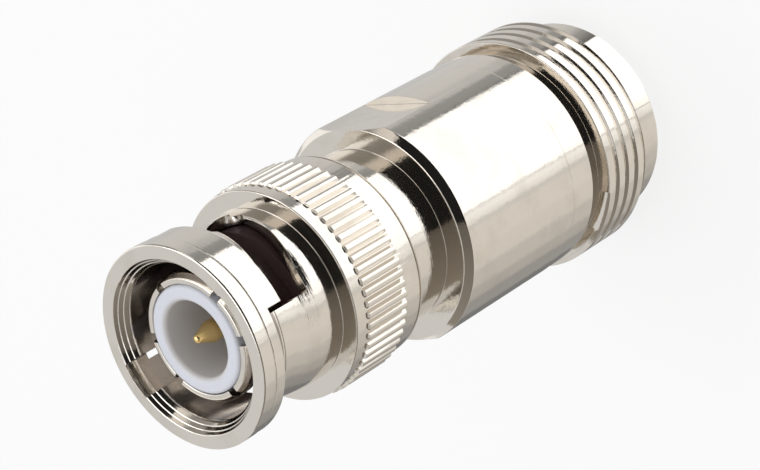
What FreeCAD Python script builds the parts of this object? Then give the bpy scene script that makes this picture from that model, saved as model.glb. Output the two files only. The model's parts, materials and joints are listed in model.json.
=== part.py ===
import FreeCAD, Part
import math
import os

# Adapter with a bayonet plug at the top and a threaded jack at the bottom.
# Millimetres. The axis is Z, the jack's end face stands on z = 0 and the
# plug's face looks up. A depth is measured down from the plug's face, a level
# up from the jack's end face.

# Clearances
running_gap = 0.05
seat_gap = 0.05

# Coupling nut, outside
flange_radius = 6.35
flange_height = 1.75
ridge_height = 2.9
ridge_start_angle = 18.0
ridge_span_angle = 84.5
neck_radius = 5.3
neck_flare_radius = 5.6
flare_height = 0.9
shoulder_depth = 7.55
collar_length = 0.95
knurl_radius = 6.87
knurl_length = 3.6
knurl_teeth = 60
knurl_depth = 0.31
knurl_rise = 0.02
knurl_crest_share = 0.42
rear_rim_length = 1.5
edge_chamfer = 0.12

# Coupling nut, inside
mouth_radius = 5.47
mouth_depth = 0.8
lug_bore_radius = 4.89
stop_lip_height = 1.225
clip_groove_depth = 0.25

# Lug channel: straight entry, ramp, resting pocket
lug_reach_radius = 5.55
lug_clearance = 0.03
lug_channel_width = 2.25
entry_angle = 26.0
ramp_start_depth = 4.5
ramp_drop = 1.25
ramp_angle = 63.0
pocket_return = 0.15
lug_count = 2

# Slotted outer contact and its shell
finger_tip_depth = 1.2
finger_tip_radius = 3.78
finger_bulge_radius = 4.08
finger_bevel_height = 0.42
finger_bulge_height = 0.5
finger_taper_height = 0.8
finger_root_radius = 3.9
finger_bore_radius = 3.45
finger_slot_width = 0.6
finger_slot_depth = 4.3
finger_cut_angles = (1.0, 46.5, 120.5)
shell_shoulder_height = 0.85
shell_flange_height = 0.95
stem_radius = 4.9
stem_bore_radius = 4.0
stem_bore_depth = 9.5
stem_end_depth = 19.2
gasket_height = 1.6

# Spring washer, thrust washer and clip
bow_height = 0.9
spring_thickness = 0.2
washer_thickness = 0.55
washer_rim_gap = 0.1
clip_thickness = 0.55
clip_width = 0.7
clip_opening_angle = 40.0

# Plug insulator and centre pin
insulator_tip_lead = 0.1
insulator_bore_radius = 2.4
insulator_bore_depth = 7.0
insulator_edge = 0.15
insulator_rear_height = 3.0
pin_radius = 0.675
pin_tip_radius = 0.2
pin_tip_lag = 0.05
pin_cone_height = 1.2
pin_shank_radius = 1.05
pin_shank_end_depth = 14.0
stud_radius = 0.55
stud_length = 2.5

# Main body, outside
neck_tube_radius = 5.7
neck_tube_setback = 1.55
barrel_start_depth = 17.1
barrel_radius = 7.45
barrel_chamfer = 0.42
relief_radius = 7.0
relief_height = 1.1
thread_radius = 7.9
thread_length = 4.6
thread_chamfer = 0.45
end_ring_radius = 6.9
end_ring_height = 2.6
flat_half_width = 6.92
flat_length = 4.8

# Main body, inside, and the jack's contact
jack_bore_radius = 4.05
jack_bore_depth = 9.1
bead_lip_height = 0.7
bead_lip_radius = 3.2
bead_radius = 3.5
bead_height = 5.0
bush_bore_radius = 2.6
bush_height = 5.0
socket_radius = 1.52
socket_tip_depth = 4.3
socket_bore_radius = 0.83
socket_bore_length = 5.5
socket_slot_width = 0.25
socket_slot_length = 4.5
socket_slots = 4
socket_waist_radius = 1.2

# Worked out from the sizes above
bead_top_level = jack_bore_depth + bead_height
bush_top_level = bead_top_level + bush_height
total_length = bush_top_level + stem_end_depth
thread_bottom_level = end_ring_height
thread_top_level = thread_bottom_level + thread_length
barrel_bottom_level = thread_top_level + relief_height
pocket_depth = ramp_start_depth + ramp_drop
cavity_depth = pocket_depth + lug_channel_width / 2 + stop_lip_height
cavity_radius = neck_tube_radius + running_gap
knurl_start_depth = shoulder_depth + collar_length
knurl_end_depth = knurl_start_depth + knurl_length
nut_length = knurl_end_depth + rear_rim_length
groove_radius = cavity_radius + clip_groove_depth
lug_groove_radius = lug_reach_radius + lug_clearance
knurl_root_radius = knurl_radius - knurl_depth
collar_radius = knurl_root_radius - knurl_rise
shell_flange_radius = cavity_radius - 1.5 * running_gap
shell_shoulder_radius = lug_bore_radius - 1.5 * running_gap
flange_top_depth = cavity_depth + seat_gap
flange_bottom_depth = flange_top_depth + shell_flange_height
shoulder_top_depth = flange_top_depth - shell_shoulder_height
washer_top_depth = flange_bottom_depth + bow_height + spring_thickness
washer_bottom_depth = washer_top_depth + washer_thickness
clip_top_depth = washer_bottom_depth + seat_gap
clip_bottom_depth = clip_top_depth + clip_thickness
neck_tube_start_depth = clip_bottom_depth + neck_tube_setback
insulator_tip_depth = finger_tip_depth - insulator_tip_lead
insulator_radius = finger_bore_radius - running_gap
pin_tip_depth = insulator_tip_depth + pin_tip_lag
spin_axis = FreeCAD.Vector(0, 0, 1)
origin = FreeCAD.Vector(0, 0, 0)
beyond = 1.0


def level(depth):
    """Height above the jack's end face of a depth below the plug's face."""
    return total_length - depth


def turned(*outline):
    """Solid of revolution of a closed outline of (radius, height) corners."""
    corners = [FreeCAD.Vector(radius, 0, height) for radius, height in outline]
    face = Part.Face(Part.makePolygon(corners + corners[:1]))
    return face.revolve(origin, spin_axis, 360)


def ring(inner, outer, bottom, top):
    """Plain ring between two radii and two heights."""
    return turned((inner, bottom), (outer, bottom), (outer, top), (inner, top))


def disc(radius, bottom, top):
    """Plain round bar between two heights."""
    return Part.makeCylinder(radius, top - bottom, FreeCAD.Vector(0, 0, bottom))


def turned_about_axis(shape, angle):
    """Copy of a shape turned about the part's axis."""
    copy = shape.copy()
    copy.rotate(origin, spin_axis, angle)
    return copy


def sector(inner, outer, bottom, top, start, span):
    """Part of a ring between two angles."""
    section = Part.makePolygon([
        FreeCAD.Vector(inner, 0, bottom), FreeCAD.Vector(outer, 0, bottom),
        FreeCAD.Vector(outer, 0, top), FreeCAD.Vector(inner, 0, top),
        FreeCAD.Vector(inner, 0, bottom)])
    wedge = Part.Face(section).revolve(origin, spin_axis, span)
    return turned_about_axis(wedge, start)


def nut_blank():
    """The coupling nut as it leaves the lathe, before knurling and milling."""
    groove_top = level(clip_top_depth - running_gap)
    groove_bottom = level(clip_bottom_depth)
    return turned(
        (mouth_radius, level(0)),
        (flange_radius - edge_chamfer, level(0)),
        (flange_radius, level(edge_chamfer)),
        (flange_radius, level(ridge_height)),
        (neck_radius, level(ridge_height)),
        (neck_radius, level(shoulder_depth - flare_height)),
        (neck_flare_radius, level(shoulder_depth)),
        (collar_radius, level(shoulder_depth)),
        (collar_radius, level(nut_length)),
        (cavity_radius, level(nut_length)),
        (cavity_radius, groove_bottom),
        (groove_radius, groove_bottom),
        (groove_radius, groove_top),
        (cavity_radius, groove_top),
        (cavity_radius, level(cavity_depth)),
        (lug_bore_radius, level(cavity_depth)),
        (lug_bore_radius, level(mouth_depth)))


def knurled_band():
    """Straight knurl: flat crests over sharp grooves, drawn once round and raised."""
    pitch = 360.0 / knurl_teeth
    crest = knurl_crest_share * pitch / 2
    corners = []
    for tooth in range(knurl_teeth):
        middle = tooth * pitch
        for radius, offset in ((knurl_radius, -crest), (knurl_radius, crest),
                               (knurl_root_radius, pitch / 2)):
            angle = math.radians(middle + offset)
            corners.append(FreeCAD.Vector(radius * math.cos(angle), radius * math.sin(angle), 0))
    corners.append(corners[0])
    band_bottom = level(knurl_end_depth)
    band_top = level(knurl_start_depth)
    band = Part.Face(Part.makePolygon(corners)).extrude(FreeCAD.Vector(0, 0, band_top - band_bottom))
    band.translate(FreeCAD.Vector(0, 0, band_bottom))
    core = (collar_radius + groove_radius) / 2
    return band.cut(disc(core, band_bottom - beyond, band_top + beyond))


def lug_channel():
    """Space that one bayonet lug needs: entry, helical ramp and pocket."""
    half = lug_channel_width / 2
    inner = lug_bore_radius - beyond
    entry = Part.makeBox(lug_groove_radius, lug_channel_width, ramp_start_depth + beyond,
                         FreeCAD.Vector(0, -half, level(ramp_start_depth)))
    entry = entry.common(disc(lug_groove_radius, level(ramp_start_depth), level(-beyond)))
    corner = Part.makeCylinder(half, lug_groove_radius, FreeCAD.Vector(0, 0, level(ramp_start_depth)),
                               FreeCAD.Vector(1, 0, 0))
    square = Part.makeBox(lug_groove_radius, half, lug_channel_width,
                          FreeCAD.Vector(0, -half, level(ramp_start_depth) - half))
    pitch = ramp_drop * 360.0 / ramp_angle
    path = Part.makeHelix(pitch, ramp_drop, lug_groove_radius)
    path = path.mirror(origin, spin_axis)
    path.translate(FreeCAD.Vector(0, 0, level(ramp_start_depth)))
    profile = Part.makePolygon([
        FreeCAD.Vector(inner, 0, level(ramp_start_depth) - half),
        FreeCAD.Vector(lug_groove_radius, 0, level(ramp_start_depth) - half),
        FreeCAD.Vector(lug_groove_radius, 0, level(ramp_start_depth) + half),
        FreeCAD.Vector(inner, 0, level(ramp_start_depth) + half),
        FreeCAD.Vector(inner, 0, level(ramp_start_depth) - half)])
    ramp = Part.Wire(path).makePipeShell([Part.Wire(profile)], True, True)
    pocket_level = level(pocket_depth) + pocket_return
    pocket = Part.makeCylinder(half, lug_groove_radius, FreeCAD.Vector(0, 0, pocket_level),
                               FreeCAD.Vector(1, 0, 0))
    pocket = turned_about_axis(pocket, ramp_angle)
    bounds = disc(lug_groove_radius, 0, total_length + beyond)
    return [entry, square.common(bounds), corner.common(bounds), ramp, pocket.common(bounds)]


def coupling_nut():
    """Bayonet coupling nut: knurled ring, flanged front, two lug channels."""
    nut = nut_blank().fuse(knurled_band()).removeSplitter()
    cutters = []
    for lug in range(lug_count):
        turn = lug * 360.0 / lug_count
        gap_start = ridge_start_angle + ridge_span_angle + turn
        gap_span = 360.0 / lug_count - ridge_span_angle
        cutters.append(sector(neck_radius, flange_radius + beyond, level(ridge_height) - running_gap,
                              level(flange_height), gap_start, gap_span))
        cutters += [turned_about_axis(piece, entry_angle + turn) for piece in lug_channel()]
    for cutter in cutters:
        nut = nut.cut(cutter)
    return nut


def plug_shell():
    """Slotted outer contact, thrust flange and stem, turned in one piece."""
    bevel = finger_tip_depth + finger_bevel_height
    bulge = bevel + finger_bulge_height
    taper = bulge + finger_taper_height
    shell = turned(
        (finger_bore_radius, level(finger_tip_depth)),
        (finger_tip_radius, level(finger_tip_depth)),
        (finger_bulge_radius, level(bevel)),
        (finger_bulge_radius, level(bulge)),
        (finger_root_radius, level(taper)),
        (finger_root_radius, level(shoulder_top_depth)),
        (shell_shoulder_radius, level(shoulder_top_depth)),
        (shell_shoulder_radius, level(flange_top_depth)),
        (shell_flange_radius, level(flange_top_depth)),
        (shell_flange_radius, level(flange_bottom_depth)),
        (stem_radius, level(flange_bottom_depth)),
        (stem_radius, level(stem_end_depth)),
        (stem_bore_radius, level(stem_end_depth)),
        (stem_bore_radius, level(stem_bore_depth)),
        (finger_bore_radius, level(stem_bore_depth)))
    slot = Part.makeBox(4 * finger_bulge_radius, finger_slot_width, finger_slot_depth + beyond,
                        FreeCAD.Vector(-2 * finger_bulge_radius, -finger_slot_width / 2,
                                       level(finger_tip_depth + finger_slot_depth)))
    for angle in finger_cut_angles:
        shell = shell.cut(turned_about_axis(slot, angle))
    return shell


def face_gasket():
    """Rubber ring round the fingers, against the shell's shoulder."""
    top = level(shoulder_top_depth - gasket_height)
    return ring(finger_root_radius, shell_shoulder_radius, level(shoulder_top_depth), top)


def spring_washer():
    """Ring bent over one diameter, its crown against the shell's flange."""
    outer = cavity_radius - washer_rim_gap
    inner = stem_radius + running_gap
    curve = (outer ** 2 + bow_height ** 2) / (2 * bow_height)
    span = 2 * (outer + beyond)
    top = level(flange_bottom_depth)
    start = FreeCAD.Vector(-span / 2, 0, top - curve)
    big = Part.makeCylinder(curve, span, start, FreeCAD.Vector(1, 0, 0))
    small = Part.makeCylinder(curve - spring_thickness, span, start, FreeCAD.Vector(1, 0, 0))
    return big.cut(small).common(ring(inner, outer, level(washer_top_depth), top + beyond))


def thrust_washer():
    """Flat washer that the clip presses against the spring."""
    inner = stem_radius + running_gap
    outer = cavity_radius - running_gap
    return ring(inner, outer, level(washer_bottom_depth), level(washer_top_depth))


def retaining_clip():
    """Open spring ring that snaps into the nut's groove."""
    top = level(clip_top_depth)
    bottom = level(clip_bottom_depth)
    outer = groove_radius - running_gap / 2
    clip = ring(outer - clip_width, outer, bottom, top)
    opening = sector(outer - clip_width - beyond, outer + beyond, bottom - beyond, top + beyond,
                     -clip_opening_angle / 2, clip_opening_angle)
    return clip.cut(opening)


def plug_insulator():
    """Long insulating sleeve with a broken outer edge and a collar behind."""
    tip = level(insulator_tip_depth)
    floor = level(insulator_bore_depth)
    collar_top = level(stem_bore_depth)
    collar_bottom = collar_top - insulator_rear_height
    return turned(
        (insulator_bore_radius, tip),
        (insulator_radius - insulator_edge, tip),
        (insulator_radius, tip - insulator_edge),
        (insulator_radius, collar_top),
        (stem_bore_radius, collar_top),
        (stem_bore_radius, collar_bottom),
        (pin_shank_radius, collar_bottom),
        (pin_shank_radius, floor),
        (insulator_bore_radius, floor))


def centre_pin():
    """Plug's centre pin: blunt tip, cone, contact, shank and stud."""
    tip = level(pin_tip_depth)
    shank_top = level(insulator_bore_depth)
    shank_bottom = level(pin_shank_end_depth)
    return turned(
        (0, tip),
        (pin_tip_radius, tip),
        (pin_radius, tip - pin_cone_height),
        (pin_radius, shank_top),
        (pin_shank_radius, shank_top),
        (pin_shank_radius, shank_bottom),
        (stud_radius, shank_bottom),
        (stud_radius, shank_bottom - stud_length),
        (0, shank_bottom - stud_length))


def centre_socket():
    """Jack's centre contact: slotted socket below, waist, tapped head above."""
    tip = socket_tip_depth
    top = level(pin_shank_end_depth)
    bore_end = tip + socket_bore_length
    socket = turned(
        (socket_bore_radius, tip),
        (socket_radius, tip),
        (socket_radius, jack_bore_depth),
        (socket_waist_radius, jack_bore_depth),
        (socket_waist_radius, bead_top_level),
        (socket_radius, bead_top_level),
        (socket_radius, top),
        (stud_radius, top),
        (stud_radius, top - stud_length),
        (0, top - stud_length),
        (0, bore_end + socket_bore_radius),
        (socket_bore_radius, bore_end))
    for slot_number in range(socket_slots // 2):
        slot = Part.makeBox(4 * socket_radius, socket_slot_width, socket_slot_length + beyond,
                            FreeCAD.Vector(-2 * socket_radius, -socket_slot_width / 2, tip - beyond))
        socket = socket.cut(turned_about_axis(slot, 45 + slot_number * 360.0 / socket_slots))
    return socket


def socket_insulator():
    """Bead that centres the jack's contact; its nose passes the body's lip."""
    lip_top = jack_bore_depth + bead_lip_height
    return turned(
        (socket_waist_radius, jack_bore_depth),
        (bead_lip_radius, jack_bore_depth),
        (bead_lip_radius, lip_top),
        (bead_radius, lip_top),
        (bead_radius, bead_top_level),
        (socket_waist_radius, bead_top_level))


def bead_bush():
    """Pressed bush that keeps the bead against the body's lip."""
    return ring(bush_bore_radius, bead_radius, bead_top_level, bush_top_level)


def main_body():
    """Barrel with spanner flats, threaded jack and neck, turned in one piece."""
    barrel_top = level(barrel_start_depth)
    lip_top = jack_bore_depth + bead_lip_height
    body = turned(
        (jack_bore_radius, 0),
        (end_ring_radius, 0),
        (end_ring_radius, thread_bottom_level),
        (thread_radius - thread_chamfer, thread_bottom_level),
        (thread_radius, thread_bottom_level + thread_chamfer),
        (thread_radius, thread_top_level),
        (relief_radius, thread_top_level),
        (relief_radius, barrel_bottom_level),
        (barrel_radius, barrel_bottom_level),
        (barrel_radius, barrel_top - barrel_chamfer),
        (barrel_radius - barrel_chamfer, barrel_top),
        (neck_tube_radius, barrel_top),
        (neck_tube_radius, level(neck_tube_start_depth)),
        (stem_radius, level(neck_tube_start_depth)),
        (stem_radius, level(stem_end_depth)),
        (bead_radius, level(stem_end_depth)),
        (bead_radius, lip_top),
        (bead_lip_radius, lip_top),
        (bead_lip_radius, jack_bore_depth),
        (jack_bore_radius, jack_bore_depth))
    flat_bottom = barrel_top - flat_length
    for side in range(2):
        flat = Part.makeBox(2 * barrel_radius, barrel_radius, flat_length + beyond,
                            FreeCAD.Vector(-barrel_radius, flat_half_width, flat_bottom))
        body = body.cut(turned_about_axis(flat, 180 * side))
    return body


nodes = {
    "coupling_nut": coupling_nut(),
    "retaining_clip": retaining_clip(),
    "thrust_washer": thrust_washer(),
    "spring_washer": spring_washer(),
    "face_gasket": face_gasket(),
    "plug_shell": plug_shell(),
    "plug_insulator": plug_insulator(),
    "centre_pin": centre_pin(),
    "centre_socket": centre_socket(),
    "socket_insulator": socket_insulator(),
    "bead_bush": bead_bush(),
    "main_body": main_body(),
}

os.makedirs("parts", exist_ok=True)
for name, shape in nodes.items():
    shape.exportStep("parts/" + name + ".step")
    print(name, "valid", shape.isValid(), "solids", len(shape.Solids), "volume", round(shape.Volume, 2))
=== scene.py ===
import json
import math

import bmesh
import bpy
from mathutils import Matrix, Vector

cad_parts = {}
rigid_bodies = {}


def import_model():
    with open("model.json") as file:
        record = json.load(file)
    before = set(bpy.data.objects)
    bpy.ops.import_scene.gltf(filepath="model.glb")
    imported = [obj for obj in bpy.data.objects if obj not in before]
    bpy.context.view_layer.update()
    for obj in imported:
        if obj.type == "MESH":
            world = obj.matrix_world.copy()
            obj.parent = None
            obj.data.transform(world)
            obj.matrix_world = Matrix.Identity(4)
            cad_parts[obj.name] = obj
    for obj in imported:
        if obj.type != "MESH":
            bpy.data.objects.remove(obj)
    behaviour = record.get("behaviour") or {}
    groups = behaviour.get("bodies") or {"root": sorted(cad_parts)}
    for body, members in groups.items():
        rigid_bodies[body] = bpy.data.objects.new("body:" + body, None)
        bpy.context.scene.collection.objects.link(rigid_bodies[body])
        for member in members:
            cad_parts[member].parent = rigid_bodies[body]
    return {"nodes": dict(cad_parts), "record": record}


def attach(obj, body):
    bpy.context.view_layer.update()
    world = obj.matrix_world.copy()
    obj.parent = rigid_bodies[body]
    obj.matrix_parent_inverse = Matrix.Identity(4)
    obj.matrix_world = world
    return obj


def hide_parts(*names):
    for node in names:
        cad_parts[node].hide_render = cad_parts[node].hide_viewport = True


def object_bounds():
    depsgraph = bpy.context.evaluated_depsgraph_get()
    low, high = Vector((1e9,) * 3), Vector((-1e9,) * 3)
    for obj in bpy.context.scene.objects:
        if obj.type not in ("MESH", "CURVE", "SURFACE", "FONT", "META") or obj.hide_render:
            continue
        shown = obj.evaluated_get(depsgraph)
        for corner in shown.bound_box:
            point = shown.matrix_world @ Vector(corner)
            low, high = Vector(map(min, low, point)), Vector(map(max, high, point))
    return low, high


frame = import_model()
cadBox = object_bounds()
mm = 0.001
plugFace = cadBox[1].z / mm      # pieces are drawn in millimetres and brought to metres when finished
weld = 0.0005                    # points nearer to each other than this are joined
past = 1                         # how far a cutter reaches past what it cuts
print("frame loaded, plug face at", round(plugFace, 3), "mm")


# Drawing helpers

def deep(depth):
    # height of a depth below the plug's face
    return plugFace - depth


def supported(corners):
    # a point close beside each rounded corner keeps its bend from shading the flats next to it
    beside = 0.04
    ring = []
    for corner, following in zip(corners, corners[1:] + corners[:1]):
        ring.append(corner)
        start, end = Vector(corner[:2]), Vector(following[:2])
        length = (end - start).length
        margins = [item[2] + beside if len(item) > 2 else 0 for item in (corner, following)]
        if sum(margins) + beside < length:
            along = (end - start) / length
            if margins[0]:
                ring.append(tuple(start + along * margins[0]))
            if margins[1]:
                ring.append(tuple(end - along * margins[1]))
    return ring


def turned(corners, steps):
    # lathe work: corners are (radius, height, fillet), joined in a ring and spun round the axis
    bm = bmesh.new()
    fillets = {}
    verts = []
    for corner in supported(corners):
        vert = bm.verts.new((corner[0], 0, corner[1]))
        verts.append(vert)
        if len(corner) > 2:
            fillets.setdefault(corner[2], []).append(vert)
    for first, second in zip(verts, verts[1:] + verts[:1]):
        if first.co.x > 0 or second.co.x > 0:
            bm.edges.new((first, second))
    large = 0.3
    for size, rounded in fillets.items():
        segments = 3 if size < large else 9
        bmesh.ops.bevel(bm, geom=rounded, offset=size, segments=segments, profile=0.5,
                        affect="VERTICES", material=-1)
    bmesh.ops.spin(bm, geom=bm.verts[:] + bm.edges[:], cent=(0, 0, 0), axis=(0, 0, 1),
                   angle=2 * math.pi, steps=steps, use_merge=True)
    bmesh.ops.remove_doubles(bm, verts=bm.verts, dist=weld)
    bmesh.ops.recalc_face_normals(bm, faces=bm.faces)
    return bm


def block(size, centre, turn=0.0):
    # box with its sides along the axes, then turned about the part's axis
    bm = bmesh.new()
    bmesh.ops.create_cube(bm, size=1.0)
    bmesh.ops.scale(bm, verts=bm.verts, vec=size)
    bmesh.ops.translate(bm, verts=bm.verts, vec=centre)
    bmesh.ops.rotate(bm, verts=bm.verts, cent=(0, 0, 0), matrix=Matrix.Rotation(turn, 3, "Z"))
    return bm


def swept(profile, angle, rise, steps):
    # closed profile of (radius, height) carried round the axis along a helix, capped at both ends
    bm = bmesh.new()
    face = bm.faces.new([bm.verts.new((radius, 0, height)) for radius, height in profile])
    loop = bmesh.ops.duplicate(bm, geom=[face] + face.edges[:] + face.verts[:])["geom"]
    bmesh.ops.spin(bm, geom=loop, cent=(0, 0, 0), axis=(0, 0, 1), dvec=(0, 0, rise / steps),
                   angle=angle, steps=steps)
    bmesh.ops.remove_doubles(bm, verts=bm.verts, dist=weld)
    bmesh.ops.recalc_face_normals(bm, faces=bm.faces)
    return bm


def madeObject(name, bm):
    mesh = bpy.data.meshes.new(name)
    bm.to_mesh(mesh)
    bm.free()
    piece = bpy.data.objects.new(name, mesh)
    bpy.context.scene.collection.objects.link(piece)
    return piece


def carved(name, bm, cutters):
    # takes all the cutters out of the blank in one go
    blank = madeObject(name, bm)
    tools = bpy.data.collections.new(name + "Tools")
    for number, cutter in enumerate(cutters):
        tool = madeObject(name + "Tool" + str(number), cutter)
        tools.objects.link(tool)
    cut = blank.modifiers.new("cut", "BOOLEAN")
    cut.operation = "DIFFERENCE"
    cut.solver = "EXACT"
    cut.operand_type = "COLLECTION"
    cut.collection = tools
    graph = bpy.context.evaluated_depsgraph_get()
    cutMesh = bpy.data.meshes.new_from_object(blank.evaluated_get(graph), depsgraph=graph)
    result = bmesh.new()
    result.from_mesh(cutMesh)
    for tool in tools.objects[:]:
        bpy.data.objects.remove(tool)
    bpy.data.collections.remove(tools)
    bpy.data.objects.remove(blank)
    return result


def finished(name, bm, body, node):
    # brings the drawing to metres, smooths it up to its sharp edges and lets it ride
    bmesh.ops.remove_doubles(bm, verts=bm.verts, dist=weld)
    bmesh.ops.scale(bm, verts=bm.verts, vec=(mm, mm, mm))
    sharpAngle = 32
    piece = madeObject(name, bm)
    piece.data.polygons.foreach_set("use_smooth", [True] * len(piece.data.polygons))
    piece.data.set_sharp_from_angle(angle=math.radians(sharpAngle))
    steady = piece.modifiers.new("steady", "WEIGHTED_NORMAL")
    steady.keep_sharp = True
    steady.weight = 100      # the larger faces decide the shading
    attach(piece, body)
    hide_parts(node)
    print("made", name, len(piece.data.polygons), "faces")
    return piece


slotOf = {part["node"]: part["material_slot"] for part in frame["record"]["subparts"]}


# Coupling nut

nut = {
    "steps": 480,
    "flangeRadius": 6.35,
    "flangeHeight": 1.75,
    "lineStart": 0.94,           # fine line round the flange, and the band behind it
    "lineDepth": 0.045,
    "bandStart": 1.1,
    "bandRadius": 6.32,
    "ridgeHeight": 2.9,
    "ridgeGapStart": 102.5,      # degrees, to where the next ridge begins
    "ridgeGapSpan": 95.5,
    "ridgeGapSteps": 120,
    "ridgeGapMargin": 0.03,
    "neckRadius": 5.3,
    "flareStart": 4.3,
    "flareStartBend": 0.6,
    "flareEnd": 6.3,
    "flareEndBend": 0.4,
    "flareRadius": 5.6,
    "shoulderDepth": 7.55,
    "collarRadius": 6.7,
    "rimRadius": 6.6,
    "crestRadius": 6.87,
    "rootRadius": 6.56,
    "knurlStart": 8.5,
    "knurlTaper": 11.9,
    "knurlEnd": 12.1,
    "teeth": 60,
    "toothSlope": 0.03,
    "rimGroove": [13.38, 13.43, 13.48, 13.49],
    "rimGrooveRadius": 6.47,
    "length": 13.6,
    "boreRadius": 4.89,
    "mouthRadius": 5.47,
    "mouthDepth": 0.8,
    "ringLip": 0.05,
    "ringRise": 0.02,
    "cavityRadius": 5.75,
    "cavityDepth": 8.1,
    "grooveRadius": 6.0,
    "grooveStart": 10.75,
    "grooveEnd": 11.35,
    "edge": 0.09,
    "fineEdge": 0.03,
}

# one tooth from crest to crest: share of the pitch, and height between root and crest
toothPoints = [(0.0, 1.0), (0.16, 0.99), (0.25, 0.87), (0.42, 0.12),
               (0.5, 0.0), (0.58, 0.12), (0.75, 0.87), (0.84, 0.99)]

channel = {
    "reach": 5.58,
    "width": 2.25,
    "entryAngle": 26.0,
    "entryCuts": 9,
    "rampStart": 4.5,
    "rampDrop": 1.25,
    "rampAngle": 63.0,
    "rampSteps": 42,
    "cornerSteps": 8,
    "pocketReturn": 0.15,
    "pocketSteps": 40,
}


def nutBlank():
    n = nut
    edge = n["edge"]
    ring = (n["mouthRadius"] - n["boreRadius"]) / 3
    step = n["mouthDepth"] / 3
    groove = n["rimGroove"]
    return turned([
        (n["mouthRadius"], deep(0), edge / 2),
        (n["flangeRadius"], deep(0), edge),
        (n["flangeRadius"], deep(n["lineStart"]), n["fineEdge"]),
        (n["flangeRadius"] - n["lineDepth"], deep((n["lineStart"] + n["bandStart"]) / 2)),
        (n["bandRadius"], deep(n["bandStart"]), n["fineEdge"]),
        (n["bandRadius"], deep(n["ridgeHeight"]), edge),
        (n["neckRadius"], deep(n["ridgeHeight"]), edge),
        (n["neckRadius"], deep(n["flareStart"]), n["flareStartBend"]),
        (n["flareRadius"], deep(n["flareEnd"]), n["flareEndBend"]),
        (n["flareRadius"], deep(n["shoulderDepth"]), n["fineEdge"]),
        (n["collarRadius"], deep(n["shoulderDepth"]), 2 * n["fineEdge"]),
        (n["collarRadius"], deep(n["knurlStart"])),
        (n["crestRadius"], deep(n["knurlStart"] + n["toothSlope"])),
        (n["crestRadius"], deep(n["knurlTaper"])),
        (n["rimRadius"], deep(n["knurlEnd"])),
        (n["rimRadius"], deep(groove[0])),
        (n["rimGrooveRadius"], deep(groove[1])),
        (n["rimGrooveRadius"], deep(groove[2])),
        (n["rimRadius"], deep(groove[3])),
        (n["rimRadius"], deep(n["length"]), edge / 2),
        (n["cavityRadius"], deep(n["length"]), edge),
        (n["cavityRadius"], deep(n["grooveEnd"])),
        (n["grooveRadius"], deep(n["grooveEnd"])),
        (n["grooveRadius"], deep(n["grooveStart"])),
        (n["cavityRadius"], deep(n["grooveStart"])),
        (n["cavityRadius"], deep(n["cavityDepth"])),
        (n["boreRadius"], deep(n["cavityDepth"]), edge),
        (n["boreRadius"], deep(n["mouthDepth"]), edge),
        (n["boreRadius"] + ring, deep(2 * step)),
        (n["boreRadius"] + ring + n["ringLip"], deep(2 * step - n["ringRise"])),
        (n["boreRadius"] + 2 * ring, deep(step)),
        (n["boreRadius"] + 2 * ring + n["ringLip"], deep(step - n["ringRise"])),
    ], n["steps"])


def pressKnurl(bm):
    # the two outline rings between the knurl's ends take the shape of its teeth
    slack = 0.01
    stepAngle = 2 * math.pi / nut["steps"]
    pitch = 2 * math.pi / nut["teeth"]
    top = deep(nut["knurlStart"]) + slack
    bottom = deep(nut["knurlTaper"]) - slack
    for vert in bm.verts:
        radius = vert.co.xy.length
        if bottom < vert.co.z < top and abs(radius - nut["crestRadius"]) < slack:
            place = round(math.atan2(vert.co.y, vert.co.x) / stepAngle)
            tooth, point = divmod(place, len(toothPoints))
            share, height = toothPoints[point]
            angle = (tooth + share) * pitch
            radius = nut["rootRadius"] + height * (nut["crestRadius"] - nut["rootRadius"])
            vert.co.x = radius * math.cos(angle)
            vert.co.y = radius * math.sin(angle)


def entryCutter(turn):
    # straight way in for a lug, its outer wall on the groove's radius
    c = channel
    height = c["rampStart"] + past
    cutter = block((c["reach"], c["width"], height), (c["reach"] / 2, 0, deep(c["rampStart"]) + height / 2))
    across = [edge for edge in cutter.edges if abs(edge.verts[0].co.y - edge.verts[1].co.y) > c["width"] / 2]
    bmesh.ops.subdivide_edges(cutter, edges=across, cuts=c["entryCuts"], use_grid_fill=True)
    for vert in cutter.verts:
        if vert.co.x > c["reach"] / 2:
            vert.co.x = math.sqrt(c["reach"] ** 2 - vert.co.y ** 2)
    bmesh.ops.rotate(cutter, verts=cutter.verts, cent=(0, 0, 0), matrix=Matrix.Rotation(turn, 3, "Z"))
    return cutter


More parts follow.
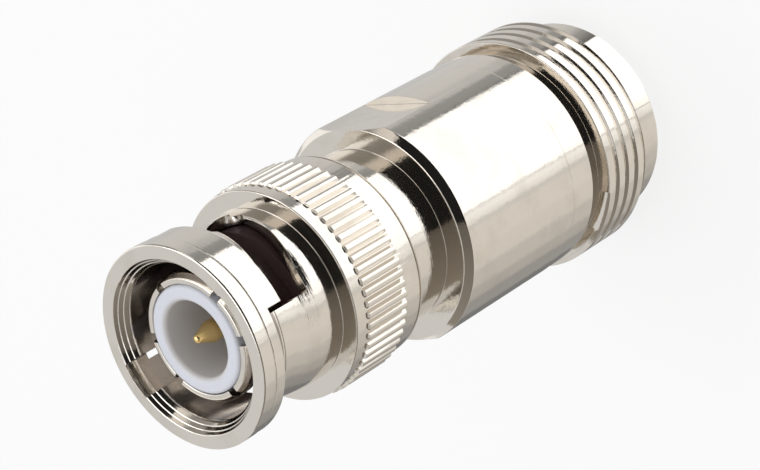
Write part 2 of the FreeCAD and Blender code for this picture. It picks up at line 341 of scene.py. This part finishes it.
def channelCutters(turn):
    c = channel
    half = c["width"] / 2
    inner = nut["boreRadius"] - past
    start = deep(c["rampStart"])
    ramp = swept([(inner, start - half), (c["reach"], start - half), (c["reach"], start + half),
                  (inner, start + half)], math.radians(c["rampAngle"]), -c["rampDrop"], c["rampSteps"])
    bmesh.ops.rotate(ramp, verts=ramp.verts, cent=(0, 0, 0), matrix=Matrix.Rotation(turn, 3, "Z"))
    corner = swept([(inner, start - half), (c["reach"], start - half), (c["reach"], start),
                    (inner, start)], -math.asin(half / c["reach"]), 0, c["cornerSteps"])
    bmesh.ops.rotate(corner, verts=corner.verts, cent=(0, 0, 0), matrix=Matrix.Rotation(turn, 3, "Z"))
    pocket = bmesh.new()
    bmesh.ops.create_cone(pocket, cap_ends=True, segments=c["pocketSteps"], radius1=half, radius2=half,
                          depth=c["reach"] - inner)
    bmesh.ops.rotate(pocket, verts=pocket.verts, cent=(0, 0, 0), matrix=Matrix.Rotation(math.pi / 2, 3, "Y"))
    level = start - c["rampDrop"] + c["pocketReturn"]
    bmesh.ops.translate(pocket, verts=pocket.verts, vec=((c["reach"] + inner) / 2, 0, level))
    pocketTurn = Matrix.Rotation(turn + math.radians(c["rampAngle"]), 3, "Z")
    bmesh.ops.rotate(pocket, verts=pocket.verts, cent=(0, 0, 0), matrix=pocketTurn)
    return [entryCutter(turn), ramp, corner, pocket]


def makeNut():
    n = nut
    blank = nutBlank()
    pressKnurl(blank)
    cutters = []
    for lug in range(2):
        half = lug * math.pi
        cutters += channelCutters(math.radians(channel["entryAngle"]) + half)
        bottom = deep(n["ridgeHeight"] + n["ridgeGapMargin"])
        top = deep(n["flangeHeight"])
        gap = swept([(n["neckRadius"], bottom), (n["flangeRadius"] + past, bottom),
                     (n["flangeRadius"] + past, top), (n["neckRadius"], top)],
                    math.radians(n["ridgeGapSpan"]), 0, n["ridgeGapSteps"])
        turn = Matrix.Rotation(math.radians(n["ridgeGapStart"]) + half, 3, "Z")
        bmesh.ops.rotate(gap, verts=gap.verts, cent=(0, 0, 0), matrix=turn)
        cutters.append(gap)
    return finished("couplingNut", carved("nutBlank", blank, cutters), "coupling", "coupling_nut")


# Slotted outer contact with its shell

shell = {
    "steps": 192,
    "tipDepth": 1.2,
    "tipRadius": 3.78,
    "bulgeRadius": 4.08,
    "bevelHeight": 0.42,
    "bulgeHeight": 0.5,
    "taperHeight": 0.8,
    "rootRadius": 3.9,
    "boreRadius": 3.45,
    "shoulderDepth": 7.3,
    "shoulderRadius": 4.815,
    "flangeTop": 8.15,
    "flangeRadius": 5.675,
    "flangeBottom": 9.1,
    "stemRadius": 4.9,
    "stemBore": 4.0,
    "stemBoreDepth": 9.5,
    "stemEnd": 19.2,
    "slotWidth": 0.6,
    "slotDepth": 3.4,
    "cutAngles": [1.0, 46.5, 120.5],
    "tipEdge": 0.05,
    "bulgeEdge": 0.12,
    "taperEdge": 0.15,
}


def makeShell():
    s = shell
    bevel = s["tipDepth"] + s["bevelHeight"]
    bulge = bevel + s["bulgeHeight"]
    taper = bulge + s["taperHeight"]
    blank = turned([
        (s["boreRadius"], deep(s["tipDepth"]), s["tipEdge"]),
        (s["tipRadius"], deep(s["tipDepth"]), s["tipEdge"]),
        (s["bulgeRadius"], deep(bevel), s["bulgeEdge"]),
        (s["bulgeRadius"], deep(bulge), s["bulgeEdge"]),
        (s["rootRadius"], deep(taper), s["taperEdge"]),
        (s["rootRadius"], deep(s["shoulderDepth"])),
        (s["shoulderRadius"], deep(s["shoulderDepth"])),
        (s["shoulderRadius"], deep(s["flangeTop"])),
        (s["flangeRadius"], deep(s["flangeTop"])),
        (s["flangeRadius"], deep(s["flangeBottom"])),
        (s["stemRadius"], deep(s["flangeBottom"])),
        (s["stemRadius"], deep(s["stemEnd"])),
        (s["stemBore"], deep(s["stemEnd"])),
        (s["stemBore"], deep(s["stemBoreDepth"])),
        (s["boreRadius"], deep(s["stemBoreDepth"])),
    ], s["steps"])
    cutters = []
    height = s["slotDepth"] + past
    middle = deep(s["tipDepth"] + s["slotDepth"]) + height / 2
    for angle in s["cutAngles"]:
        size = (3 * s["bulgeRadius"], s["slotWidth"], height)
        cutters.append(block(size, (0, 0, middle), math.radians(angle)))
    return finished("plugShell", carved("shellBlank", blank, cutters), "body", "plug_shell")


# White sleeve round the pin, and the pin

sleeve = {
    "steps": 160,
    "tipDepth": 1.1,
    "radius": 3.4,
    "boreRadius": 2.4,
    "boreDepth": 7.0,
    "edge": 0.22,
    "mouthEdge": 0.3,
    "floorEdge": 0.15,
    "collarRadius": 4.0,
    "collarTop": 9.5,
    "collarBottom": 12.5,
}

pin = {
    "steps": 96,
    "tipDepth": 1.15,
    "tipRadius": 0.2,
    "tipEdge": 0.14,
    "radius": 0.675,
    "coneHeight": 1.2,
    "coneEdge": 0.05,
    "shankRadius": 1.05,
    "shankTop": 7.0,
    "shankBottom": 14.0,
    "studRadius": 0.55,
    "studLength": 2.5,
}


def makeSleeve():
    s = sleeve
    return finished("plugSleeve", turned([
        (s["boreRadius"], deep(s["tipDepth"]), s["mouthEdge"]),
        (s["radius"], deep(s["tipDepth"]), s["edge"]),
        (s["radius"], deep(s["collarTop"])),
        (s["collarRadius"], deep(s["collarTop"])),
        (s["collarRadius"], deep(s["collarBottom"])),
        (pin["shankRadius"], deep(s["collarBottom"])),
        (pin["shankRadius"], deep(s["boreDepth"])),
        (s["boreRadius"], deep(s["boreDepth"]), s["floorEdge"]),
    ], s["steps"]), "body", "plug_insulator")


def makePin():
    p = pin
    return finished("contactPin", turned([
        (0, deep(p["tipDepth"])),
        (p["tipRadius"], deep(p["tipDepth"]), p["tipEdge"]),
        (p["radius"], deep(p["tipDepth"] + p["coneHeight"]), p["coneEdge"]),
        (p["radius"], deep(p["shankTop"])),
        (p["shankRadius"], deep(p["shankTop"])),
        (p["shankRadius"], deep(p["shankBottom"])),
        (p["studRadius"], deep(p["shankBottom"])),
        (p["studRadius"], deep(p["shankBottom"] + p["studLength"])),
        (0, deep(p["shankBottom"] + p["studLength"])),
    ], p["steps"]), "body", "centre_pin")


# Body with its barrel, flats and threaded jack

barrel = {
    "steps": 256,
    "neckRadius": 5.7,
    "neckDepth": 12.9,
    "neckEdge": 0.04,
    "top": 21.2,
    "radius": 7.45,
    "chamfer": 0.42,
    "bottom": 8.3,
    "reliefRadius": 7.0,
    "seam": 10.4,
    "seamStep": 0.025,
    "seamDepth": 0.06,
    "seamWidth": 0.03,
    "threadTop": 7.2,
    "threadRadius": 7.9,
    "threadBottom": 2.6,
    "threadChamfer": 0.45,
    "ringRadius": 6.9,
    "endEdge": 0.22,
    "flatHalfWidth": 6.92,
    "flatLength": 4.8,
    "stemRadius": 4.9,
    "stemEnd": 19.2,
    "beadRadius": 3.5,
    "lipRadius": 3.2,
    "lipHeight": 0.7,
    "jackBore": 4.05,
    "jackEdge": 0.25,
    "jackDepth": 9.1,
    "edge": 0.1,
}

screw = {
    "pitch": 1.058,      # 24 turns to the inch
    "crestFlat": 0.6,
    "rootFlat": 0.08,
    "flankAngle": 30.0,
    "over": 0.3,         # how far the cutter stands out of the crests
    "leadIn": 1.5,       # turns before the thread's lower end
    "runOut": 0.1,       # turns after its top
    "stepsPerTurn": 128,
}


def threadCutter():
    # V groove of the jack's outer screw, right-handed
    b, s = barrel, screw
    flank = math.tan(math.radians(s["flankAngle"]))
    depth = (s["pitch"] - s["crestFlat"] - s["rootFlat"]) / 2 / flank
    root = s["rootFlat"] / 2
    crest = root + (depth + s["over"]) * flank
    low = b["threadBottom"] - s["leadIn"] * s["pitch"]
    inner = b["threadRadius"] - depth
    outer = b["threadRadius"] + s["over"]
    turns = (b["threadTop"] - low) / s["pitch"] + s["runOut"]
    steps = round(turns * s["stepsPerTurn"])
    return swept([(inner, low - root), (outer, low - crest), (outer, low + crest), (inner, low + root)],
                 turns * 2 * math.pi, turns * s["pitch"], steps)


def makeBody():
    b = barrel
    edge = b["edge"]
    lip = b["jackDepth"] + b["lipHeight"]
    blank = turned([
        (b["jackBore"], 0, b["jackEdge"]),
        (b["ringRadius"], 0, b["endEdge"]),
        (b["ringRadius"], b["threadBottom"]),
        (b["threadRadius"] - b["threadChamfer"], b["threadBottom"], edge / 2),
        (b["threadRadius"], b["threadBottom"] + b["threadChamfer"]),
        (b["threadRadius"], b["threadTop"], edge / 2),
        (b["reliefRadius"], b["threadTop"], edge / 2),
        (b["reliefRadius"], b["bottom"], edge / 2),
        (b["radius"] - b["seamStep"], b["bottom"], edge / 2),
        (b["radius"] - b["seamStep"], b["seam"]),
        (b["radius"] - b["seamDepth"], b["seam"] + b["seamWidth"] / 2),
        (b["radius"], b["seam"] + b["seamWidth"]),
        (b["radius"], b["top"] - b["chamfer"], edge / 2),
        (b["radius"] - b["chamfer"], b["top"], edge / 2),
        (b["neckRadius"], b["top"], b["neckEdge"]),
        (b["neckRadius"], deep(b["neckDepth"]), edge),
        (b["stemRadius"], deep(b["neckDepth"]), edge),
        (b["stemRadius"], deep(b["stemEnd"])),
        (b["beadRadius"], deep(b["stemEnd"])),
        (b["beadRadius"], lip),
        (b["lipRadius"], lip),
        (b["lipRadius"], b["jackDepth"]),
        (b["jackBore"], b["jackDepth"]),
    ], b["steps"])
    cutters = [threadCutter()]
    height = b["flatLength"] + past
    middle = b["top"] - b["flatLength"] + height / 2
    for side in (-1, 1):
        place = side * (b["flatHalfWidth"] + b["radius"] / 2)
        cutters.append(block((3 * b["radius"], b["radius"], height), (0, place, middle)))
    return finished("adapterBody", carved("bodyBlank", blank, cutters), "body", "main_body")


# Slotted centre contact of the jack, and its white bead

socket = {
    "steps": 96,
    "tip": 4.3,
    "radius": 1.52,
    "boreRadius": 0.83,
    "boreLength": 5.5,
    "waistRadius": 1.2,
    "waistBottom": 9.1,
    "waistTop": 14.1,
    "top": 24.3,
    "boreEdge": 0.15,
    "slotWidth": 0.25,
    "slotLength": 4.5,
    "slotAngles": [45, 135],
    "studRadius": 0.55,
    "studLength": 2.5,
    "edge": 0.2,
}


def makeSocket():
    s = socket
    floor = s["tip"] + s["boreLength"]
    blank = turned([
        (s["boreRadius"], s["tip"], s["boreEdge"]),
        (s["radius"], s["tip"], s["edge"]),
        (s["radius"], s["waistBottom"]),
        (s["waistRadius"], s["waistBottom"]),
        (s["waistRadius"], s["waistTop"]),
        (s["radius"], s["waistTop"]),
        (s["radius"], s["top"]),
        (s["studRadius"], s["top"]),
        (s["studRadius"], s["top"] - s["studLength"]),
        (0, s["top"] - s["studLength"]),
        (0, floor + s["boreRadius"]),
        (s["boreRadius"], floor),
    ], s["steps"])
    cutters = []
    height = s["slotLength"] + past
    middle = s["tip"] - past + height / 2
    for angle in s["slotAngles"]:
        size = (4 * s["radius"], s["slotWidth"], height)
        cutters.append(block(size, (0, 0, middle), math.radians(angle)))
    return finished("jackSocket", carved("socketBlank", blank, cutters), "body", "centre_socket")


bead = {
    "steps": 128,
    "noseRadius": 3.2,
    "radius": 3.5,
    "bottom": 9.1,
    "step": 9.8,
    "top": 14.1,
    "boreRadius": 1.2,
    "edge": 0.06,
}


def makeBead():
    d = bead
    return finished("jackBead", turned([
        (d["boreRadius"], d["bottom"]),
        (d["noseRadius"], d["bottom"], d["edge"]),
        (d["noseRadius"], d["step"]),
        (d["radius"], d["step"]),
        (d["radius"], d["top"]),
        (d["boreRadius"], d["top"]),
    ], d["steps"]), "body", "socket_insulator")


# Shader formulas

class Signal:
    # a socket that can stand in a sum: each operator adds the Math node that it means
    def __init__(self, sheet, socket):
        self.sheet = sheet
        self.socket = socket

    def maths(self, operation, *values):
        inputs = dict(enumerate(values))
        return self.sheet.add("ShaderNodeMath", {"operation": operation}, inputs)

    def __add__(self, other):
        return self.maths("ADD", self, other)

    def __radd__(self, other):
        return self.maths("ADD", other, self)

    def __sub__(self, other):
        return self.maths("SUBTRACT", self, other)

    def __rsub__(self, other):
        return self.maths("SUBTRACT", other, self)

    def __mul__(self, other):
        return self.maths("MULTIPLY", self, other)

    def root(self):
        return self.maths("SQRT", self)

    def above(self, low, high):
        # 0 below the first level, 1 over the second, smooth between
        settings = {"interpolation_type": "SMOOTHSTEP"}
        inputs = {0: self, 1: low, 2: high, 3: 0.0, 4: 1.0}
        return self.sheet.add("ShaderNodeMapRange", settings, inputs)


class Sheet:
    # one material's nodes; add() takes a node's type, its settings and what goes into its sockets
    def __init__(self, name):
        self.material = bpy.data.materials.new(name)
        self.material.use_nodes = True
        self.tree = self.material.node_tree
        self.tree.nodes.clear()

    def add(self, kind, settings=None, inputs=None, output=0):
        node = self.tree.nodes.new(kind)
        for key, value in (settings or {}).items():
            setattr(node, key, value)
        for key, value in (inputs or {}).items():
            if isinstance(value, Signal):
                self.tree.links.new(value.socket, node.inputs[key])
            else:
                node.inputs[key].default_value = value
        return Signal(self, node.outputs[output]) if node.outputs else node

    def point(self):
        # the place on the piece in millimetres
        place = self.add("ShaderNodeTexCoord", output="Object")
        return self.add("ShaderNodeVectorMath", {"operation": "SCALE"}, {0: place, "Scale": 1 / mm})

    def parts(self, vector):
        split = self.add("ShaderNodeSeparateXYZ", inputs={0: vector})
        outputs = split.socket.node.outputs
        return [Signal(self, outputs[number]) for number in range(3)]

    def joined(self, x, y, z):
        return self.add("ShaderNodeCombineXYZ", inputs={0: x, 1: y, 2: z})

    def noise(self, vector, scale, detail=2.0, rough=0.5):
        inputs = {"Vector": vector, "Scale": scale, "Detail": detail, "Roughness": rough}
        return self.add("ShaderNodeTexNoise", {"noise_dimensions": "3D"}, inputs)

    def mixed(self, share, first, second):
        # colours between two, by a share
        settings = {"data_type": "RGBA", "blend_type": "MIX"}
        return self.add("ShaderNodeMix", settings, {0: share, 6: first, 7: second}, output=2)

    def relief(self, height, depth, normal=None):
        # bump of a height from 0 to 1, its depth in thousandths of a millimetre
        inputs = {"Height": height, "Strength": 1.0, "Distance": depth * mm / 1000}
        if normal:
            inputs["Normal"] = normal
        return self.add("ShaderNodeBump", inputs=inputs)

    def finish(self, values):
        surface = self.add("ShaderNodeBsdfPrincipled", inputs=values)
        self.add("ShaderNodeOutputMaterial", inputs={"Surface": surface})
        return self.material


def colour(red, green, blue):
    return (red, green, blue, 1)


# Nickel plate over turned brass

nickel = {
    "light": colour(0.80, 0.755, 0.69),
    "dull": colour(0.68, 0.635, 0.57),
    "stained": colour(0.36, 0.32, 0.29),
    "rough": 0.075,
    "edge": 0.05,         # how far an edge's light is rounded, in millimetres
    "waveDepth": 7.0,     # depths of the relief in thousandths of a millimetre
    "streakDepth": 4.5,
    "markDepth": 1.3,
    "grainDepth": 2.0,
    "boreRadius": 5.1,    # the nut's stained places: its bore, and the lugs' ways up to the band line
    "wayRadius": 5.625,
    "wayBottom": 2.8,
    "stainTop": 0.9,
}


def stainedPlaces(radius, z):
    # 1 in the nut's bore and in the lugs' ways through its flange, where the plate is thin
    n = nickel
    soft = 0.05
    thin = 0.025
    bore = 1 - radius.above(n["boreRadius"] - soft, n["boreRadius"] + soft)
    way = 1 - radius.above(n["wayRadius"] - thin, n["wayRadius"] + thin)
    way = way * z.above(deep(n["wayBottom"] + soft), deep(n["wayBottom"] - soft))
    below = 1 - z.above(deep(n["stainTop"] + soft), deep(n["stainTop"] - soft))
    return (bore + way - bore * way) * below


def nickelPlate(name, rough=nickel["rough"], turning=1.0, hollow=False):
    sheet = Sheet(name)
    point = sheet.point()
    x, y, z = sheet.parts(point)
    radius = (x * x + y * y).root()
    # tool marks follow the turning: they change along the axis and outwards, hardly round it
    rings = sheet.noise(sheet.joined(radius * 9, z * 9, 0.0), 1.0, 3.0, 0.7)
    arcs = sheet.noise(sheet.joined(radius * 30, z * 30, x * 0.25), 1.0, 2.0, 0.6)
    streaks = sheet.noise(sheet.joined(x * 0.9, y * 0.9, z * 8), 1.0, 2.0, 0.6)
    waves = sheet.noise(point, 2.6, 3.0, 0.6)
    grain = sheet.noise(point, 14.0, 3.0, 0.6)
    smudge = sheet.noise(point, 0.35, 4.0, 0.6).above(0.45, 0.7)
    cells = sheet.add("ShaderNodeTexVoronoi", {"feature": "F1"}, {"Vector": point, "Scale": 1.3})
    pits = 1 - cells.above(0.02, 0.06)
    tint = sheet.mixed(smudge * 0.5 + pits * 0.4, nickel["light"], nickel["dull"])
    roughness = rough + smudge * 0.06 + (arcs - 0.5) * 0.05 + pits * 0.2
    if hollow:
        inside = stainedPlaces(radius, z)
        tint = sheet.mixed(inside, tint, nickel["stained"])
        roughness = roughness + inside * 0.1
    rounded = sheet.add("ShaderNodeBevel", {"samples": 6}, {"Radius": nickel["edge"] * mm})
    wavy = sheet.relief(waves, nickel["waveDepth"], rounded)
    frayed = sheet.relief(streaks, nickel["streakDepth"] * turning, wavy)
    marked = sheet.relief(rings * 0.7 + arcs * 0.3, nickel["markDepth"] * turning, frayed)
    normal = sheet.relief(grain * 0.4 - pits, nickel["grainDepth"], marked)
    return sheet.finish({"Base Color": tint, "Metallic": 1.0, "Roughness": roughness, "Normal": normal})


def springSteel(name):
    sheet = Sheet(name)
    point = sheet.point()
    x, y, z = sheet.parts(point)
    radius = (x * x + y * y).root()
    brushed = sheet.noise(sheet.joined(radius * 20, z * 20, x), 1.0, 3.0, 0.6)
    blotch = sheet.noise(point, 0.8, 3.0, 0.6)
    tint = sheet.mixed(blotch, colour(0.52, 0.5, 0.47), colour(0.64, 0.63, 0.61))
    normal = sheet.relief(brushed, 10.0)
    return sheet.finish({"Base Color": tint, "Metallic": 1.0, "Roughness": 0.25 + brushed * 0.15,
                         "Normal": normal})


def gasketRubberInPaintedShade(name):
    sheet = Sheet(name)
    point = sheet.point()
    dust = sheet.noise(point, 1.6, 5.0, 0.65)
    grain = sheet.noise(point, 22.0, 3.0, 0.6)
    # red-brown rubber drawn almost black: its own colour with painted shade of the hollow inside the nut
    tint = sheet.mixed(dust, colour(0.02, 0.007, 0.008), colour(0.045, 0.012, 0.012))
    normal = sheet.relief(grain, 15.0)
    return sheet.finish({"Base Color": tint, "Roughness": 0.5 + dust * 0.2, "Normal": normal})


def whitePlastic(name):
    # fluoropolymer: waxy white with a cool cast, faint lathe rings on its end
    sheet = Sheet(name)
    point = sheet.point()
    x, y, z = sheet.parts(point)
    radius = (x * x + y * y).root()
    cloud = sheet.noise(point, 0.6, 3.0, 0.5)
    rings = sheet.noise(sheet.joined(radius * 12, z * 4, 0.0), 1.0, 2.0, 0.6)
    grain = sheet.noise(point, 9.0, 4.0, 0.6)
    outside = sheet.mixed(cloud, colour(0.63, 0.65, 0.72), colour(0.68, 0.70, 0.77))
    # painted shade: the sleeve's bore is drawn a darker, warmer grey than its outside, for the shade inside
    # the hole
    bore = 1 - radius.above(sleeve["boreRadius"] + 0.05, sleeve["boreRadius"] + 0.35)
    tint = sheet.mixed(bore * 0.9, outside, colour(0.60, 0.585, 0.58))
    normal = sheet.relief(rings * 0.6 + grain * 0.4, 7.0)
    return sheet.finish({"Base Color": tint, "Roughness": 0.34 + grain * 0.12, "Normal": normal,
                         "Subsurface Weight": 0.2, "Subsurface Scale": 0.0012,
                         "Subsurface Radius": (1.0, 1.0, 1.1), "Specular IOR Level": 0.4})


def goldPlate(name):
    sheet = Sheet(name)
    point = sheet.point()
    x, y, z = sheet.parts(point)
    radius = (x * x + y * y).root()
    rings = sheet.noise(sheet.joined(radius * 16, z * 12, 0.0), 1.0, 3.0, 0.6)
    blotch = sheet.noise(point, 1.5, 3.0, 0.6)
    tint = sheet.mixed(blotch, colour(0.80, 0.55, 0.20), colour(0.93, 0.71, 0.34))
    normal = sheet.relief(rings, 6.0)
    return sheet.finish({"Base Color": tint, "Metallic": 1.0, "Roughness": 0.16 + blotch * 0.14,
                         "Normal": normal})


# Studio: pale floor, soft light, and cards that only the metal's reflections show

studio = {
    "floorSize": 900.0,
    "floorColour": colour(0.84, 0.84, 0.84),
    "floorSpeck": colour(0.86, 0.86, 0.86),
    "floorWhite": 0.8,        # share of plain white in what the camera and the metal see of it
    "worldColour": colour(0.80, 0.80, 0.80),
    "worldStrength": 0.9,
    "cameraTarget": (0.05, -0.12, 20.7),
    "cameraDistance": 145.06,
    "cameraAzimuth": 22.5,
    "cameraElevation": 42.56,
    "cameraRoll": -120.3,
    "lens": 111.3,
    "lampAzimuth": 150,
    "lampElevation": 70,
    "lampDistance": 260,
    "lampSize": 200,
    "lampWatts": 0.24,
    "apronTint": 0.4,         # how much of a stop's warmth also dims its green
    "curtainTint": 0.45,
    "cardLevel": 0.12,
    "cardStart": 0.0,
    "cardEnd": 130.0,
    "curtainReach": 95.0,
    "curtainHeights": [0.2, 15.0, 30.0, 45.0, 60.0],
}

apronStops = [(88, 0.60, 0.0), (70, 0.66, 0.02), (60, 0.68, 0.04), (50, 0.60, 0.02), (43, 0.36, 0.0),
              (36, 0.16, 0.0), (35, 1.5, 0.0), (-5, 1.5, 0.0), (-12.3, 1.25, 0.03), (-12.5, 0.5, 0.0),
              (-13, 1.1, 0.03), (-16, 1.0, 0.04), (-18.5, 0.72, 0.06), (-21, 0.80, 0.10), (-32, 0.76, 0.11),
              (-42, 0.62, 0.10), (-52, 0.50, 0.08), (-60, 0.36, 0.05), (-72, 0.24, 0.03), (-88, 0.2, 0.0)]

curtainStops = [(155, 1.1, 0.0), (126, 1.1, 0.02), (118, 0.35, 0.1), (90, 0.30, 0.1), (82, 0.75, 0.12),
                (67, 0.85, 0.14), (66, 0.015, 0.0), (-29, 0.015, 0.0), (-31, 0.14, 0.2), (-60, 0.20, 0.22),
                (-100, 0.26, 0.2), (-120, 0.30, 0.2)]


def seenRays(sheet):
    # 1 for what the camera, glossy and transmission rays see
    path = sheet.add("ShaderNodeLightPath")
    outputs = path.socket.node.outputs
    rays = ["Is Camera Ray", "Is Glossy Ray", "Is Transmission Ray"]
    seen = [Signal(sheet, outputs[ray]) for ray in rays]
    return seen[0].maths("MINIMUM", seen[0] + seen[1] + seen[2], 1.0)


def makeFloor():
    bm = bmesh.new()
    bmesh.ops.create_grid(bm, x_segments=1, y_segments=1, size=studio["floorSize"] / 2 * mm)
    floor = madeObject("floor", bm)
    sheet = Sheet("floorPaint")
    point = sheet.point()
    speck = sheet.noise(point, 0.05, 2.0, 0.5)
    tint = sheet.mixed(speck, studio["floorColour"], studio["floorSpeck"])
    paint = sheet.add("ShaderNodeBsdfDiffuse", inputs={"Color": tint})
    white = sheet.add("ShaderNodeEmission", inputs={"Color": colour(1, 1, 1), "Strength": 1.0})
    share = seenRays(sheet) * studio["floorWhite"]
    both = sheet.add("ShaderNodeMixShader", inputs={0: share, 1: paint, 2: white})
    sheet.add("ShaderNodeOutputMaterial", inputs={"Surface": both})
    floor.data.materials.append(sheet.material)


def warmed(brightness, warmth, greenShare):
    return (brightness, brightness * (1 - greenShare * warmth), brightness * (1 - warmth), 1)


def makeCard(name, columns):
    # glowing paper that only reflections see: each column is its points and their shade
    bm = bmesh.new()
    shade = bm.verts.layers.float_color.new("shade")
    last = None
    for points, tone in columns:
        column = [bm.verts.new(point) for point in points]
        for vert in column:
            vert[shade] = tone
        if last:
            for low in range(len(column) - 1):
                bm.faces.new((last[low], column[low], column[low + 1], last[low + 1]))
        last = column
    bmesh.ops.scale(bm, verts=bm.verts, vec=(mm, mm, mm))
    card = madeObject(name, bm)
    sheet = Sheet(name + "Paper")
    tone = sheet.add("ShaderNodeVertexColor", {"layer_name": "shade"})
    glow = sheet.add("ShaderNodeEmission", inputs={"Color": tone, "Strength": 1.0})
    sheet.add("ShaderNodeOutputMaterial", inputs={"Surface": glow})
    card.data.materials.append(sheet.material)
    card.visible_camera = False
    card.visible_diffuse = False
    card.visible_shadow = False
    card.visible_transmission = False
    card.visible_volume_scatter = False


def makeApron():
    # what lies round the part on the studio's floor, as the metal's sides show it: each stop is
    # an angle round the barrel from the side that faces the camera, a brightness and a warmth
    facing = math.radians(studio["cameraAzimuth"])
    columns = []
    for angle, brightness, warmth in apronStops:
        surface = facing + math.radians(angle)
        away = facing + 2 * math.radians(angle)
        start = Vector((math.cos(surface), math.sin(surface), 0)) * barrel["ringRadius"]
        start.z = studio["cardLevel"]
        along = Vector((math.cos(away), math.sin(away), 0))
        points = [start + along * reach for reach in (studio["cardStart"], studio["cardEnd"])]
        columns.append((points, warmed(brightness, warmth, studio["apronTint"])))
    makeCard("apron", columns)


def makeCurtain():
    # what stands round the part above the floor, as its corners and up-facing edges show it: each
    # stop is a direction from the camera's azimuth, a brightness and a warmth
    columns = []
    for angle, brightness, warmth in curtainStops:
        azimuth = studio["cameraAzimuth"] + angle
        points = [towards(azimuth, height) * studio["curtainReach"] for height in studio["curtainHeights"]]
        columns.append((points, warmed(brightness, warmth, studio["curtainTint"])))
    makeCard("curtain", columns)


def towards(azimuth, elevation):
    a = math.radians(azimuth)
    e = math.radians(elevation)
    return Vector((math.cos(e) * math.cos(a), math.cos(e) * math.sin(a), math.sin(e)))


def makeCamera():
    s = studio
    data = bpy.data.cameras.new("camera")
    data.lens = s["lens"]
    data.sensor_width = 36.0
    camera = bpy.data.objects.new("camera", data)
    bpy.context.scene.collection.objects.link(camera)
    direction = towards(s["cameraAzimuth"], s["cameraElevation"])
    place = (Vector(s["cameraTarget"]) + direction * s["cameraDistance"]) * mm
    facing = direction.to_track_quat("Z", "Y").to_matrix().to_4x4()
    roll = Matrix.Rotation(math.radians(s["cameraRoll"]), 4, "Z")
    camera.matrix_world = Matrix.Translation(place) @ facing @ roll
    bpy.context.scene.camera = camera


def makeLamp():
    s = studio
    data = bpy.data.lights.new("overheadLamp", "AREA")
    data.shape = "SQUARE"
    data.size = s["lampSize"] * mm
    data.energy = s["lampWatts"]
    lamp = bpy.data.objects.new("overheadLamp", data)
    bpy.context.scene.collection.objects.link(lamp)
    direction = towards(s["lampAzimuth"], s["lampElevation"])
    place = (Vector(s["cameraTarget"]) + direction * s["lampDistance"]) * mm
    lamp.matrix_world = Matrix.Translation(place) @ direction.to_track_quat("Z", "Y").to_matrix().to_4x4()


def makeStudio():
    world = bpy.data.worlds.new("studio")
    world.use_nodes = True
    backdrop = world.node_tree.nodes["Background"]
    backdrop.inputs["Color"].default_value = studio["worldColour"]
    backdrop.inputs["Strength"].default_value = studio["worldStrength"]
    bpy.context.scene.world = world
    bpy.context.scene.view_settings.view_transform = "Standard"
    makeFloor()
    makeCamera()
    makeLamp()
    makeApron()
    makeCurtain()


print("drawing the pieces")
pieces = {
    "coupling_nut": makeNut(),
    "plug_shell": makeShell(),
    "plug_insulator": makeSleeve(),
    "centre_pin": makePin(),
    "main_body": makeBody(),
    "centre_socket": makeSocket(),
    "socket_insulator": makeBead(),
}

print("painting them")
finishes = {
    "nut_nickel": nickelPlate("nutNickel", hollow=True),
    "body_nickel": nickelPlate("bodyNickel"),
    "shell_nickel": nickelPlate("shellNickel", 0.12, 1.4),
    "washer_nickel": nickelPlate("washerNickel", 0.24, 1.5),
    "spring_steel": springSteel("springSteel"),
    "gasket_rubber": gasketRubberInPaintedShade("gasketRubberInPaintedShade"),
    "white_insulator": whitePlastic("whitePlastic"),
    "gold_contact": goldPlate("goldPlate"),
}
for node, shown in frame["nodes"].items():
    piece = pieces.get(node, shown)
    piece.data.materials.clear()
    piece.data.materials.append(finishes[slotOf[node]])

print("setting up the studio")
makeStudio()

print("done")
